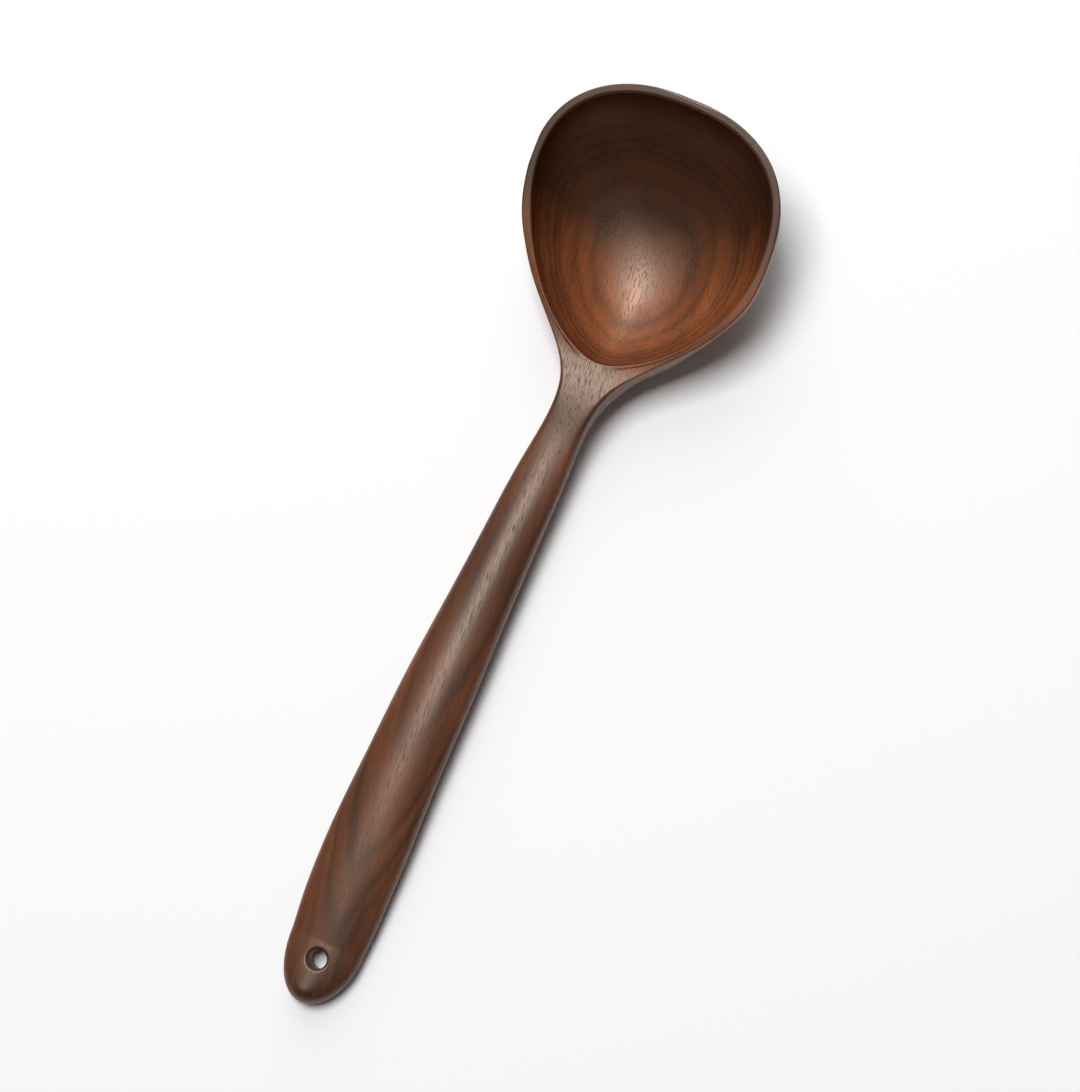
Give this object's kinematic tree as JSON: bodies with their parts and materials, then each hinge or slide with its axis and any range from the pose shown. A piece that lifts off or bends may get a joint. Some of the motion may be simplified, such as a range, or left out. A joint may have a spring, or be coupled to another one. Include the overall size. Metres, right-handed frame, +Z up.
{
  "type": "soup ladle",
  "caption": "One-piece carved wooden soup ladle: deep round bowl with a rim that rises away from a slim rounded handle, and a hanging hole at the handle's end.",
  "frame": {"origin": "centre of the bounding box in plan, at the table that the bowl and the handle's end rest on", "axes": "+X along the ladle from the handle's end to the far rim, +Z up from the table, +Y to the left of the handle seen from its end"},
  "size_m": [0.3299, 0.0902, 0.0458],
  "materials": {
    "walnut": "oiled satin"
  },
  "bodies": {
    "root": {"ladle": "walnut"}
  },
  "joints": []
}
